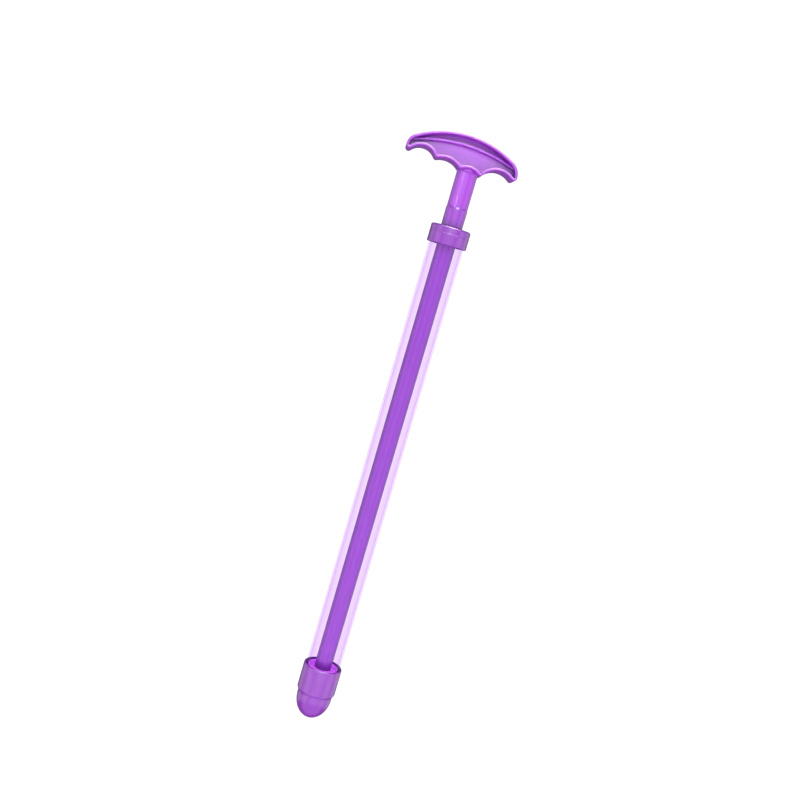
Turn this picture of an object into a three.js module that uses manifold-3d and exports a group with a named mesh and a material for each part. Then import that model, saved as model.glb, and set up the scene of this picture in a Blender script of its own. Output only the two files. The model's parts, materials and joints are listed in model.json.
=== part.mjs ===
// Pull-type water squirter, lying on a table: a clear barrel tube between a collar and a domed nozzle cap,
// and a plunger with a moulded T-grip for three fingers. Millimetres, +Z up.
// +X runs along the barrel from the grip to the nozzle, and -Y is the grip's long side.
// The origin is on the table, under the middle of the squirter's outline. The plunger is pushed right in.
import * as THREE from "three";
import { mergeVertices } from "three/addons/utils/BufferGeometryUtils.js";
import Module from "manifold-3d";

// Fits: pieces that touch keep this gap, and the sliding ones a little more
const FIT_GAP = 0.25;
const SLIDE_GAP = 0.3;
const STOP_GAP = 0.6;

// Barrel tube
const TUBE_R = 15;
const TUBE_WALL = 1.5;
const TUBE_LENGTH = 412;

// Rear collar
const COLLAR_WALL = 1.75;
const COLLAR_HEIGHT = 15.4;
const COLLAR_ROOF = 3;
const COLLAR_TOP_EDGE_R = 1.6;
const COLLAR_FOOT_EDGE_R = 0.3;
const PARTING_BELOW_TOP = 6.4;
const PARTING_WIDTH = 0.7;
const PARTING_HEIGHT = 0.15;

// Nozzle cap
const CAP_WALL = 1.75;
const CAP_SOCKET = 20;
const CAP_SLEEVE = 23.3;
const CAP_RIM_EDGE_R = 0.7;
const CAP_CHAMFER_LENGTH = 2.2;
const CAP_CHAMFER_DEPTH = 1.1;
const DOME_STEP = 0.5;
const DOME_WALL = 2.4;
const DOME_NECK = 3.7;
const DOME_LENGTH = 19.75;
const NOZZLE_R = 1.5;
const NOZZLE_FACE_R = 2.8;

// Plunger rod
const ROD_TOP_R = 8;
const ROD_DRAFT = 0.5;
const ROD_WALL = 1.8;
const ROD_END_WALL = 22;
const BELL_STEP = 1.2;
const BELL_TAPER = 0.15;
const BELL_LENGTH = 16.4;
const BELL_BEVEL_DEPTH = 0.35;
const BELL_BEVEL_LENGTH = 1.8;

// Piston
const PISTON_LENGTH = 17;
const PISTON_ABOVE_CAP = -0.8;
const CUP_WALL = 1.3;
const CUP_DEPTH = 6;
const HUB_WALL = 1.5;
const HUB_BELOW_CUP = 1.2;
const ROD_SEAT_DEPTH = 9;
const RIB_COUNT = 6;
const RIB_WIDTH = 1.4;
const RING_SECTION_R = 1.5;
const RING_FROM_FACE = 4.2;

// Piston fasteners
const WASHER_R = 6.5;
const WASHER_THICKNESS = 1;
const SCREW_R = 1.7;
const SCREW_LENGTH = 20;
const SCREW_TIP = 2;
const SCREW_HEAD_R = 3.5;
const SCREW_HEAD_HEIGHT = 2.4;

// Grip: reaches are from the rod's axis, heights from the stem's foot
const GRIP_LONG_REACH = 55.5;
const GRIP_SHORT_REACH = 39.9;
const GRIP_HEIGHT = 25.75;
const GRIP_THICKNESS = 27;
const CROWN_R = 83.5;
const CROWN_SHIFT = 8;
const LONG_END_R = 9.4;
const SHORT_END_R = 13.5;
const LIP = 2.4;
const LIP_EDGE_R = 0.9;
const LIP_FLAT = 0.25;
const TIP_INSIDE_R = 0.5;
const RIDGE_INSIDE_R = 0.3;
const WEB = 3;
const RIB_ARC_R = 132;
const RIB_BELOW_CROWN = 7.7;
const RIB_THICKNESS = 1.6;
const RIB_HEIGHT = 4.5;
const RIB_EDGE_R = 0.5;

// Finger hollows: how deep the grip is over each one, and how round it is
const OUTER_HOLLOW_FROM_END = 14.8;
const OUTER_HOLLOW_DEPTH = 11.8;
const OUTER_HOLLOW_R = 12.8;
const INNER_HOLLOW_DEPTH = 22.1;
const INNER_HOLLOW_R = 17;
const SHORT_HOLLOW_FROM_END = 15;
const SHORT_HOLLOW_DEPTH = 14.1;
const SHORT_HOLLOW_R = 16;
const STEM_ARCH_R = 12.5;

// Stem
const STEM_LENGTH = 32;
const STEM_STEP = 0.35;
const STEM_TAPER = 0.1;
const STEM_FLARE_R = 1.2;
const SPIGOT_LENGTH = 13;
const CORE_R = 4;
const CORE_LENGTH = 40;

// How finely round shapes are drawn
const SIDES = 40;
const RING_SIDES = 10;
const SAGITTA = 0.05;
const EDGE_STEPS = 3;
const WELD = 1e-4;

// Sizes that follow from the ones above
const TUBE_BORE_R = TUBE_R - TUBE_WALL;
const SOCKET_R = TUBE_R + FIT_GAP;
const COLLAR_R = SOCKET_R + COLLAR_WALL;
const CAP_R = SOCKET_R + CAP_WALL;
const DOME_R = CAP_R - CAP_CHAMFER_DEPTH - DOME_STEP;
const BELL_R = ROD_TOP_R + BELL_STEP;
const ROD_END_R = ROD_TOP_R - ROD_DRAFT;
const ROD_BORE_R = ROD_TOP_R - ROD_WALL;
const SCREW_HOLE_R = SCREW_R + FIT_GAP;
const STEM_FOOT_R = BELL_R - STEM_STEP;
const STEM_TOP_R = STEM_FOOT_R + STEM_TAPER;
const PISTON_R = TUBE_BORE_R - SLIDE_GAP;
const SEAT_R = ROD_END_R + FIT_GAP;
const HUB_R = SEAT_R + HUB_WALL;
const CUP_BORE_R = PISTON_R - CUP_WALL;
const RING_R = TUBE_BORE_R - FIT_GAP - RING_SECTION_R;
const TIP_R = LIP + TIP_INSIDE_R;
const RIDGE_R = LIP + RIDGE_INSIDE_R;

// Stations along the barrel, from the collar's top face
const TUBE_START = COLLAR_ROOF + FIT_GAP;
const TUBE_END = TUBE_START + TUBE_LENGTH;
const CAP_SHOULDER = TUBE_END + FIT_GAP;
const CAP_RIM = CAP_SHOULDER - CAP_SOCKET;
const CAP_CHAMFER = CAP_RIM + CAP_SLEEVE;
const DOME_START = CAP_CHAMFER + CAP_CHAMFER_LENGTH;
const DOME_CENTRE = DOME_START + DOME_NECK;
const DOME_STRETCH = DOME_LENGTH / DOME_R;
const DOME_TIP = DOME_CENTRE + DOME_STRETCH * Math.sqrt(DOME_R ** 2 - NOZZLE_FACE_R ** 2);
const BELL_FOOT = -STOP_GAP;
const BELL_TOP = BELL_FOOT - BELL_LENGTH;
const STEM_FOOT = BELL_TOP - FIT_GAP;
const CROWN_TOP = STEM_LENGTH + GRIP_HEIGHT;
const PISTON_TOP = CAP_RIM - PISTON_ABOVE_CAP;
const PISTON_FACE = PISTON_TOP + PISTON_LENGTH;
const ROD_END = PISTON_TOP + ROD_SEAT_DEPTH - FIT_GAP;
const WASHER_BACK = PISTON_FACE + FIT_GAP;
const HEAD_BACK = WASHER_BACK + WASHER_THICKNESS + FIT_GAP;

// The squirter lies on its collar and cap, with the middle of its outline over the origin
const AXIS_HEIGHT = Math.max(COLLAR_R + PARTING_HEIGHT, CAP_R);
const AXIS_ASIDE = (GRIP_LONG_REACH - GRIP_SHORT_REACH) / 2;
const MIDDLE = (DOME_TIP + STEM_FOOT - CROWN_TOP) / 2;

const wasm = await Module();
wasm.setup();

// A closed surface as a solid for joining and cutting, without the slivers at a turned shape's poles
function solidOf(geometry) {
  const bare = new THREE.BufferGeometry();
  bare.setAttribute("position", geometry.getAttribute("position"));
  bare.setIndex(geometry.getIndex());
  const welded = mergeVertices(bare, WELD);
  const corners = Array.from(welded.index.array);
  const triVerts = [];
  for (let i = 0; i < corners.length; i += 3) {
    const [a, b, c] = corners.slice(i, i + 3);
    if (a !== b && b !== c && c !== a) triVerts.push(a, b, c);
  }
  return new wasm.Manifold(
    new wasm.Mesh({
      numProp: 3,
      vertProperties: welded.getAttribute("position").array,
      triVerts: new Uint32Array(triVerts),
    }),
  );
}

function geometryOf(solid) {
  const { vertProperties, triVerts } = solid.getMesh();
  const geometry = new THREE.BufferGeometry();
  geometry.setAttribute("position", new THREE.BufferAttribute(vertProperties, 3));
  geometry.setIndex(new THREE.BufferAttribute(triVerts, 1));
  geometry.computeVertexNormals();
  return geometry;
}

// A profile of [along, radius] corners turned about the X axis; it closes on itself or ends on the axis
function turned(profile, sides = SIDES) {
  const points = profile.map(([along, radius]) => new THREE.Vector2(radius, along));
  const onAxis = profile[0][1] === 0;
  if (!onAxis) points.push(points[0].clone());
  return new THREE.LatheGeometry(points, sides).rotateZ(-Math.PI / 2);
}

// How many straight steps an arc takes, so that none strays further than SAGITTA from it
function stepsFor(radius, sweep) {
  const coarsest = 2 * Math.acos(1 - SAGITTA / radius);
  return Math.max(2, Math.ceil(sweep / coarsest));
}

// Corners of an arc in a profile, from one angle to the other; 0 degrees points along +X, 90 outwards
function arc(along, radius, r, from, to) {
  const steps = stepsFor(r, THREE.MathUtils.degToRad(Math.abs(to - from)));
  return Array.from({ length: steps + 1 }, (_, i) => {
    const angle = THREE.MathUtils.degToRad(from + ((to - from) * i) / steps);
    return [along + r * Math.cos(angle), radius + r * Math.sin(angle)];
  });
}

// A flat shape given its thickness, centred on the XY plane
function slab(shape, thickness, edge = 0) {
  return new THREE.ExtrudeGeometry(shape, {
    depth: thickness - 2 * edge,
    bevelEnabled: edge > 0,
    bevelThickness: edge,
    bevelSize: edge,
    bevelOffset: -edge,
    bevelSegments: EDGE_STEPS,
  }).translate(0, 0, edge - thickness / 2);
}

// Barrel pieces

function barrelTube() {
  return turned([
    [TUBE_START, TUBE_R],
    [TUBE_END, TUBE_R],
    [TUBE_END, TUBE_BORE_R],
    [TUBE_START, TUBE_BORE_R],
  ]);
}

function rearCollar() {
  const topEdge = arc(COLLAR_TOP_EDGE_R, COLLAR_R - COLLAR_TOP_EDGE_R, COLLAR_TOP_EDGE_R, 180, 90);
  const footAt = COLLAR_HEIGHT - COLLAR_FOOT_EDGE_R;
  const footEdge = arc(footAt, COLLAR_R - COLLAR_FOOT_EDGE_R, COLLAR_FOOT_EDGE_R, 90, 0);
  const guideR = ROD_TOP_R + SLIDE_GAP;
  return turned([
    [0, guideR],
    ...topEdge,
    [PARTING_BELOW_TOP - PARTING_WIDTH / 2, COLLAR_R],
    [PARTING_BELOW_TOP, COLLAR_R + PARTING_HEIGHT],
    [PARTING_BELOW_TOP + PARTING_WIDTH / 2, COLLAR_R],
    ...footEdge,
    [COLLAR_HEIGHT, SOCKET_R],
    [COLLAR_ROOF, SOCKET_R],
    [COLLAR_ROOF, guideR],
  ]);
}

// An arc drawn out along the barrel, for the nozzle's dome
function domeArc(r, from, to) {
  return arc(0, 0, r, from, to).map(([along, radius]) => [DOME_CENTRE + DOME_STRETCH * along, radius]);
}

function nozzleCap() {
  const rimEdge = arc(CAP_RIM + CAP_RIM_EDGE_R, CAP_R - CAP_RIM_EDGE_R, CAP_RIM_EDGE_R, 180, 90);
  const faceAngle = THREE.MathUtils.radToDeg(Math.asin(NOZZLE_FACE_R / DOME_R));
  const dome = domeArc(DOME_R, 90, faceAngle);
  const boreR = DOME_R - DOME_WALL;
  const holeAngle = THREE.MathUtils.radToDeg(Math.asin(NOZZLE_R / boreR));
  const boreEnd = domeArc(boreR, holeAngle, 90);
  return turned([
    [CAP_RIM, SOCKET_R],
    ...rimEdge,
    [CAP_CHAMFER, CAP_R],
    [DOME_START, CAP_R - CAP_CHAMFER_DEPTH],
    [DOME_START, DOME_R],
    ...dome,
    [DOME_TIP, NOZZLE_R],
    ...boreEnd,
    [CAP_SHOULDER, boreR],
    [CAP_SHOULDER, SOCKET_R],
  ]);
}

// Plunger pieces

function plungerRod() {
  const boreEnd = ROD_END - ROD_END_WALL;
  return turned([
    [BELL_TOP, ROD_BORE_R],
    [BELL_TOP, BELL_R - BELL_BEVEL_DEPTH],
    [BELL_TOP + BELL_BEVEL_LENGTH, BELL_R],
    [BELL_FOOT, BELL_R - BELL_TAPER],
    [BELL_FOOT, ROD_TOP_R],
    [ROD_END, ROD_END_R],
    [ROD_END, SCREW_HOLE_R],
    [boreEnd, SCREW_HOLE_R],
    [boreEnd, ROD_BORE_R - ROD_DRAFT],
  ]);
}

function pistonHead() {
  const cupFloor = PISTON_TOP + CUP_DEPTH;
  const hubTop = PISTON_TOP + HUB_BELOW_CUP;
  const seatFloor = PISTON_TOP + ROD_SEAT_DEPTH;
  const grooveAt = PISTON_FACE - RING_FROM_FACE;
  const grooveHalf = RING_SECTION_R + FIT_GAP;
  const grooveR = RING_R - RING_SECTION_R - FIT_GAP;
  let solid = solidOf(
    turned([
      [PISTON_TOP, CUP_BORE_R],
      [PISTON_TOP, PISTON_R],
      [grooveAt - grooveHalf, PISTON_R],
      [grooveAt - grooveHalf, grooveR],
      [grooveAt + grooveHalf, grooveR],
      [grooveAt + grooveHalf, PISTON_R],
      [PISTON_FACE, PISTON_R],
      [PISTON_FACE, SCREW_HOLE_R],
      [seatFloor, SCREW_HOLE_R],
      [seatFloor, SEAT_R],
      [hubTop, SEAT_R],
      [hubTop, HUB_R],
      [cupFloor, HUB_R],
      [cupFloor, CUP_BORE_R],
    ]),
  );
  const ribHeight = cupFloor - hubTop;
  const ribReach = CUP_BORE_R - HUB_R;
  const overlap = Math.min(HUB_WALL, CUP_WALL) / 2;
  for (let i = 0; i < RIB_COUNT; i++) {
    const rib = new THREE.BoxGeometry(ribHeight + overlap, RIB_WIDTH, ribReach + 2 * overlap);
    rib.translate(hubTop + (ribHeight + overlap) / 2, 0, (HUB_R + CUP_BORE_R) / 2);
    rib.rotateX(((i + 0.5) * 2 * Math.PI) / RIB_COUNT);
    solid = solid.add(solidOf(rib));
  }
  return geometryOf(solid);
}

function pistonRing() {
  const grooveAt = PISTON_FACE - RING_FROM_FACE;
  return new THREE.TorusGeometry(RING_R, RING_SECTION_R, RING_SIDES, SIDES)
    .rotateY(Math.PI / 2)
    .translate(grooveAt, 0, 0);
}

function pistonWasher() {
  return turned([
    [WASHER_BACK, SCREW_HOLE_R],
    [WASHER_BACK, WASHER_R],
    [WASHER_BACK + WASHER_THICKNESS, WASHER_R],
    [WASHER_BACK + WASHER_THICKNESS, SCREW_HOLE_R],
  ]);
}

function pistonScrew() {
  const headEnd = HEAD_BACK + SCREW_HEAD_HEIGHT;
  const tip = HEAD_BACK - SCREW_LENGTH;
  const headEdge = SCREW_HEAD_HEIGHT / 2;
  return turned(
    [
      [tip, 0],
      [tip + SCREW_TIP, SCREW_R],
      [HEAD_BACK, SCREW_R],
      [HEAD_BACK, SCREW_HEAD_R],
      ...arc(headEnd - headEdge, SCREW_HEAD_R - headEdge, headEdge, 90, 0),
      [headEnd, 0],
    ],
    SIDES / 2,
  );
}

// Grip outline, in the grip's own frame: x is the height over the stem's foot, y the reach to the long side.
// Every stretch is an arc that touches its neighbours. A finger hollow has a negative radius.

function crownHeight(across) {
  return CROWN_TOP - CROWN_R + Math.sqrt(CROWN_R ** 2 - (across - CROWN_SHIFT) ** 2);
}

function hollow(across, peak, radius) {
  return { x: peak - radius, y: across, r: -radius };
}

// An end of the grip, which touches the crown from inside
function gripEnd(reach, radius) {
  const y = Math.sign(reach) * (Math.abs(reach) - radius);
  const x = CROWN_TOP - CROWN_R + Math.sqrt((CROWN_R - radius) ** 2 - (y - CROWN_SHIFT) ** 2);
  return { x, y, r: radius };
}

// A small round of radius r that touches two arcs, on the right of the line from the first to the second
function roundBetween(first, second, r) {
  const dx = second.x - first.x;
  const dy = second.y - first.y;
  const apart = Math.hypot(dx, dy);
  const reachFirst = Math.abs(first.r - r);
  const reachSecond = Math.abs(second.r - r);
  const along = (reachFirst ** 2 - reachSecond ** 2 + apart ** 2) / (2 * apart);
  const aside = Math.sqrt(reachFirst ** 2 - along ** 2);
  return {
    x: first.x + (along * dx + aside * dy) / apart,
    y: first.y + (along * dy - aside * dx) / apart,
    r,
  };
}

function gripArcs() {
  const crown = { x: CROWN_TOP - CROWN_R, y: CROWN_SHIFT, r: CROWN_R };
  const longEnd = gripEnd(GRIP_LONG_REACH, LONG_END_R);
  const shortEnd = gripEnd(-GRIP_SHORT_REACH, SHORT_END_R);
  const outerAcross = GRIP_LONG_REACH - OUTER_HOLLOW_FROM_END;
  const innerAcross = outerAcross / 2;
  const shortAcross = SHORT_HOLLOW_FROM_END - GRIP_SHORT_REACH;
  const outer = hollow(outerAcross, crownHeight(outerAcross) - OUTER_HOLLOW_DEPTH, OUTER_HOLLOW_R);
  const inner = hollow(innerAcross, crownHeight(innerAcross) - INNER_HOLLOW_DEPTH, INNER_HOLLOW_R);
  const arch = hollow(0, STEM_LENGTH, STEM_ARCH_R);
  const short = hollow(shortAcross, crownHeight(shortAcross) - SHORT_HOLLOW_DEPTH, SHORT_HOLLOW_R);
  return [
    crown,
    longEnd,
    roundBetween(longEnd, outer, TIP_R),
    outer,
    roundBetween(inner, outer, RIDGE_R),
    inner,
    roundBetween(arch, inner, RIDGE_R),
    arch,
    roundBetween(short, arch, RIDGE_R),
    short,
    roundBetween(short, shortEnd, TIP_R),
    shortEnd,
  ];
}

// The point where one arc hands over to the next
function touchPoint(arcA, arcB) {
  const apart = Math.hypot(arcB.x - arcA.x, arcB.y - arcA.y);
  const share = (arcA.r * Math.sign(arcA.r - arcB.r)) / apart;
  return new THREE.Vector2(arcA.x + (arcB.x - arcA.x) * share, arcA.y + (arcB.y - arcA.y) * share);
}

// Points of the grip's outline, drawn in by inset all round
function gripOutline(inset) {
  const arcs = gripArcs().map((one) => ({ ...one, r: one.r - inset }));
  const handOver = arcs.map((one, i) => touchPoint(one, arcs[(i + 1) % arcs.length]));
  const turn = 2 * Math.PI;
  return arcs.flatMap((one, i) => {
    const from = handOver.at(i - 1);
    const to = handOver[i];
    const radius = Math.abs(one.r);
    const startAngle = Math.atan2(from.y - one.y, from.x - one.x);
    const endAngle = Math.atan2(to.y - one.y, to.x - one.x);
    const sense = Math.sign(one.r);
    const sweep = (((endAngle - startAngle) * sense) % turn + turn) % turn;
    const steps = stepsFor(radius, sweep);
    return Array.from({ length: steps }, (_, k) => {
      const angle = startAngle + (sense * sweep * k) / steps;
      return new THREE.Vector2(one.x + radius * Math.cos(angle), one.y + radius * Math.sin(angle));
    });
  });
}

// Raised rim round the whole grip, as deep as the grip is thick
function gripRim() {
  const shape = new THREE.Shape(gripOutline(0));
  shape.holes.push(new THREE.Path(gripOutline(LIP)));
  const edge = Math.min(LIP_EDGE_R, (LIP - LIP_FLAT) / 2);
  return solidOf(slab(shape, GRIP_THICKNESS, edge));
}

// Thin curved rib that stands on both faces of the web and dies into the rim at both ends
function gripRib() {
  const radius = RIB_ARC_R - RIB_THICKNESS / 2;
  const centre = CROWN_TOP - RIB_BELOW_CROWN - RIB_ARC_R;
  const halfAngle = Math.asin(Math.min(1, GRIP_LONG_REACH / RIB_ARC_R));
  const shape = new THREE.Shape();
  shape.absarc(centre, CROWN_SHIFT, radius + RIB_THICKNESS, -halfAngle, halfAngle, false);
  shape.absarc(centre, CROWN_SHIFT, radius, halfAngle, -halfAngle, true);
  const rib = solidOf(slab(shape, WEB + 2 * RIB_HEIGHT, RIB_EDGE_R));
  return rib.intersect(solidOf(slab(new THREE.Shape(gripOutline(LIP / 2)), GRIP_THICKNESS)));
}

// Round stem with a cored middle, a spigot for the rod's bell and a flare under the rim
function gripStem() {
  const flareR = STEM_TOP_R + STEM_FLARE_R;
  const flareAt = STEM_LENGTH - LIP - STEM_FLARE_R;
  const flare = arc(flareAt, flareR, STEM_FLARE_R, 270, 360);
  const spigotR = ROD_BORE_R - FIT_GAP;
  const stem = solidOf(
    turned([
      [CORE_LENGTH - SPIGOT_LENGTH, 0],
      [CORE_LENGTH - SPIGOT_LENGTH, CORE_R],
      [-SPIGOT_LENGTH, CORE_R],
      [-SPIGOT_LENGTH, spigotR],
      [0, spigotR],
      [0, STEM_FOOT_R],
      ...flare,
      [STEM_LENGTH + LIP, flareR],
      [STEM_LENGTH + LIP, 0],
    ]),
  );
  const panelSpace = solidOf(slab(new THREE.Shape(gripOutline(LIP / 2)), 2 * GRIP_THICKNESS));
  return stem.subtract(panelSpace);
}

function gripHandle() {
  const web = solidOf(slab(new THREE.Shape(gripOutline(LIP / 2)), WEB));
  return geometryOf(gripRim().add(web).add(gripRib()).add(gripStem()));
}

// Finishes
const purple = { color: 0xa95fd3, roughness: 0.35, metalness: 0 };
const violet = { color: 0x9d4ad0, roughness: 0.35, metalness: 0 };
const clearLavender = { color: 0xe6cdfb, roughness: 0.08, metalness: 0, transparent: true, opacity: 0.35 };
const blackRubber = { color: 0x1c1a1e, roughness: 0.7, metalness: 0 };
const steel = { color: 0xb9bcc0, roughness: 0.3, metalness: 1 };

function piece(name, geometry, finish) {
  const mesh = new THREE.Mesh(geometry, new THREE.MeshStandardMaterial(finish));
  mesh.name = name;
  return mesh;
}

const barrel = new THREE.Group();
barrel.add(
  piece("barrel_tube", barrelTube(), clearLavender),
  piece("rear_collar", rearCollar(), purple),
  piece("nozzle_cap", nozzleCap(), purple),
);

const handle = piece("handle", gripHandle(), purple);
handle.position.x = STEM_FOOT;
handle.rotation.z = Math.PI;

const plunger = new THREE.Group();
plunger.add(
  handle,
  piece("plunger_rod", plungerRod(), violet),
  piece("piston_head", pistonHead(), violet),
  piece("piston_ring", pistonRing(), blackRubber),
  piece("piston_washer", pistonWasher(), steel),
  piece("piston_screw", pistonScrew(), steel),
);

const squirter = new THREE.Group();
squirter.add(barrel, plunger);
squirter.position.set(-MIDDLE, AXIS_ASIDE, AXIS_HEIGHT);

export default squirter;
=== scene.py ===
# %% [markdown]
# This lesson dresses a pull-type water squirter for a studio picture. A clear lavender tube runs from a purple
# collar to a domed nozzle cap. A violet rod slides in it, with a piston on one end and a T-grip with finger
# hollows on the other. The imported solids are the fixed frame: every piece below takes its place from them,
# stands for one of them and rides on its body, so the plunger still slides and turns.

# %% Load the frame
import json
import math

import bmesh
import bpy
from mathutils import Matrix, Vector

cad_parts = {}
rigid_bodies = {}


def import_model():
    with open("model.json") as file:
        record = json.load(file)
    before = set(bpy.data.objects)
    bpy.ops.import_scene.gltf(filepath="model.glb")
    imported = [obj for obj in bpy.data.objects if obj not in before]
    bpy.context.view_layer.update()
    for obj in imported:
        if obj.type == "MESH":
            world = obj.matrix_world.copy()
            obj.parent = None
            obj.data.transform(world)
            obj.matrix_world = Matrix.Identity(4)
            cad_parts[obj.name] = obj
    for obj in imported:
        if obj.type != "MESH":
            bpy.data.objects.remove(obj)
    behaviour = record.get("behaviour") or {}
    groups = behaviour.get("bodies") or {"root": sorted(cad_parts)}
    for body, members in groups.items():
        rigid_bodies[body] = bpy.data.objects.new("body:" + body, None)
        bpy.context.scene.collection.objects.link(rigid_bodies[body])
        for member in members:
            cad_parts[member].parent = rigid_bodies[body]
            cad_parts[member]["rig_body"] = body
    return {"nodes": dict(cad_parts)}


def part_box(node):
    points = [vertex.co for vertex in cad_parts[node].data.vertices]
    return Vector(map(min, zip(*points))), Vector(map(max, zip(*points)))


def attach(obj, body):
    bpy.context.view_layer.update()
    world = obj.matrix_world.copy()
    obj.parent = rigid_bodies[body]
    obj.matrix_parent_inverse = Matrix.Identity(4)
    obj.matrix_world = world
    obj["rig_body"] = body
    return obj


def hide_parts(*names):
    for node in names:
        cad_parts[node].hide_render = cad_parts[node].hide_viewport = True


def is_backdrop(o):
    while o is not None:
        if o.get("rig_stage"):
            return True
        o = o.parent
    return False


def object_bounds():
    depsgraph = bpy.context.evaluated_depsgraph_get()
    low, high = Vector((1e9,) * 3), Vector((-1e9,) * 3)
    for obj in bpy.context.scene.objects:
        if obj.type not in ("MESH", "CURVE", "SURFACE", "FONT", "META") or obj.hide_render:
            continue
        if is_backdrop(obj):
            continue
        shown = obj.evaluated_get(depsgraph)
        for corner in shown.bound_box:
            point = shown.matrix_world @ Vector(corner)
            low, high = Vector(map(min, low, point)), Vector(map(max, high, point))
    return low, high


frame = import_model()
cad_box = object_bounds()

print("nodes:", sorted(frame["nodes"]))

# %% [markdown]
# The barrel pieces and the plunger share one axis, so it pays to draw them in millimetres along it. The collar's
# top face is the start, and one matrix carries a point (along, across, up) from there into the frame, in metres.

# %% Stand on the axis
MM = 0.001
collar_low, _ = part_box("rear_collar")
tube_low, tube_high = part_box("barrel_tube")
axis_start = Vector((collar_low.x, (tube_low.y + tube_high.y) / 2, (tube_low.z + tube_high.z) / 2))
ON_AXIS = Matrix.Translation(axis_start) @ Matrix.Scale(MM, 4)
print("axis starts at", [round(c, 5) for c in axis_start])

# %% [markdown]
# Each finish is a small tree of nodes. Colours are written as sRGB hex values, as a colour picker gives them,
# and Blender works in linear light, so one function converts them. A second one adds a node with its settings,
# its values and its links, which keeps each tree as short as its recipe.


# %% Colour and node helpers
def linear(hex_colour):
    """An sRGB hex value as linear red, green, blue and alpha."""
    channels = [int(hex_colour[i : i + 2], 16) / 255 for i in (1, 3, 5)]
    return (*[c / 12.92 if c <= 0.04045 else ((c + 0.055) / 1.055) ** 2.4 for c in channels], 1.0)


def add(tree, kind, values=(), links=(), **settings):
    """A node of one kind, with its settings, its plain input values and its links."""
    node = tree.nodes.new(kind)
    for name, value in settings.items():
        setattr(node, name, value)
    for name, value in dict(values).items():
        node.inputs[name].default_value = value
    for name, source in dict(links).items():
        tree.links.new(source, node.inputs[name])
    return node


def new_finish(name):
    """An empty material, its node tree and the coordinates that its patterns use, in metres."""
    material = bpy.data.materials.new(name)
    material.use_nodes = True
    material.node_tree.nodes.clear()
    where = add(material.node_tree, "ShaderNodeTexCoord").outputs["Object"]
    return material, material.node_tree, where


MIX_A, MIX_B, MIX_RESULT = 6, 7, 2
print("white is", linear("#FFFFFF"))

# %% [markdown]
# Grip, collar, cap, rod and piston are injection-moulded polypropylene in four shades: purple for the grip, plum
# for the collar and the cap, violet for the rod and a pale pinkish purple for the piston. That pale shade is
# painted light: the piston sits deep in the cap where little light reaches, and its colour is made about twice as
# light so that it looks lit and glowing there. The pigment itself is deep, and much of what looks pale in the photo
# is white gloss on top of it, so the other colours are darker than the picture's.
# The pigment is stirred into the melt, so the colour drifts a little over a centimetre or so. A polished mould
# leaves a gloss with a faint orange peel, about a millimetre from dimple to dimple, and the gloss is patchy where
# the melt cooled unevenly. Light also goes a little way into the plastic, and green the least far.

# %% Moulded polypropylene
DRIFT_SIZE = 14 * MM
PATCH_SIZE = 5 * MM
PEEL_SIZE = 1.1 * MM
PEEL_DEPTH = 0.01 * MM
MOULD_ROUGHNESS = 0.36
PATCHINESS = 0.02


def moulded_polypropylene(name, pale, deep):
    """A glossy moulded plastic whose colour drifts between two sRGB values."""
    material, tree, where = new_finish(name)
    drift = add(tree, "ShaderNodeTexNoise", {"Scale": 1 / DRIFT_SIZE, "Detail": 2.0}, {"Vector": where})
    colour = add(
        tree,
        "ShaderNodeMix",
        {MIX_A: linear(pale), MIX_B: linear(deep)},
        {0: drift.outputs[0]},
        data_type="RGBA",
    )
    patches = add(tree, "ShaderNodeTexNoise", {"Scale": 1 / PATCH_SIZE, "Detail": 3.0}, {"Vector": where})
    roughness = add(
        tree,
        "ShaderNodeMapRange",
        {
            "From Min": 0.3,
            "From Max": 0.7,
            "To Min": MOULD_ROUGHNESS - PATCHINESS,
            "To Max": MOULD_ROUGHNESS + PATCHINESS,
        },
        {"Value": patches.outputs[0]},
    )
    dimples = add(tree, "ShaderNodeTexNoise", {"Scale": 1 / PEEL_SIZE, "Detail": 1.0}, {"Vector": where})
    peel = add(
        tree,
        "ShaderNodeBump",
        {"Strength": 0.1, "Distance": PEEL_DEPTH},
        {"Height": dimples.outputs[0]},
    )
    shader = add(
        tree,
        "ShaderNodeBsdfPrincipled",
        {
            "IOR": 1.49,
            "Specular IOR Level": 0.4,
            "Coat Weight": 0.6,
            "Coat Roughness": 0.25,
            "Subsurface Weight": 0.25,
            "Subsurface Scale": 1.5 * MM,
            "Subsurface Radius": (1.0, 0.2, 1.0),
        },
        {
            "Base Color": colour.outputs[MIX_RESULT],
            "Roughness": roughness.outputs[0],
            "Normal": peel.outputs[0],
        },
    )
    add(tree, "ShaderNodeOutputMaterial", links={"Surface": shader.outputs[0]})
    return material


purple = moulded_polypropylene("moulded_polypropylene_purple", "#78159C", "#731397")
plum = moulded_polypropylene("moulded_polypropylene_plum", "#661188", "#620F83")
violet = moulded_polypropylene("moulded_polypropylene_violet", "#6E1693", "#6A148E")
# The piston's colour is painted light: lightened well past the other plastics so that it looks lit inside the cap.
painted_light_piston_plastic = moulded_polypropylene("moulded_polypropylene_painted_light_piston", "#D860F4", "#D05AEC")
print("made", purple.name, plum.name, violet.name, "and", painted_light_piston_plastic.name)

# %% [markdown]
# The tube is extruded clear PVC with a breath of lavender. It is thin, so it hardly bends what lies behind it, and
# a see-through shader with a gloss on top shows it well without the dark shadow of solid glass. A ray near the
# edge passes more wall, so the tint deepens there, and the gloss grows at a glancing angle. The die leaves fine
# draw lines along the tube. They are really about 0.3 mm apart, and are drawn at 1 mm so that they show.

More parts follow.
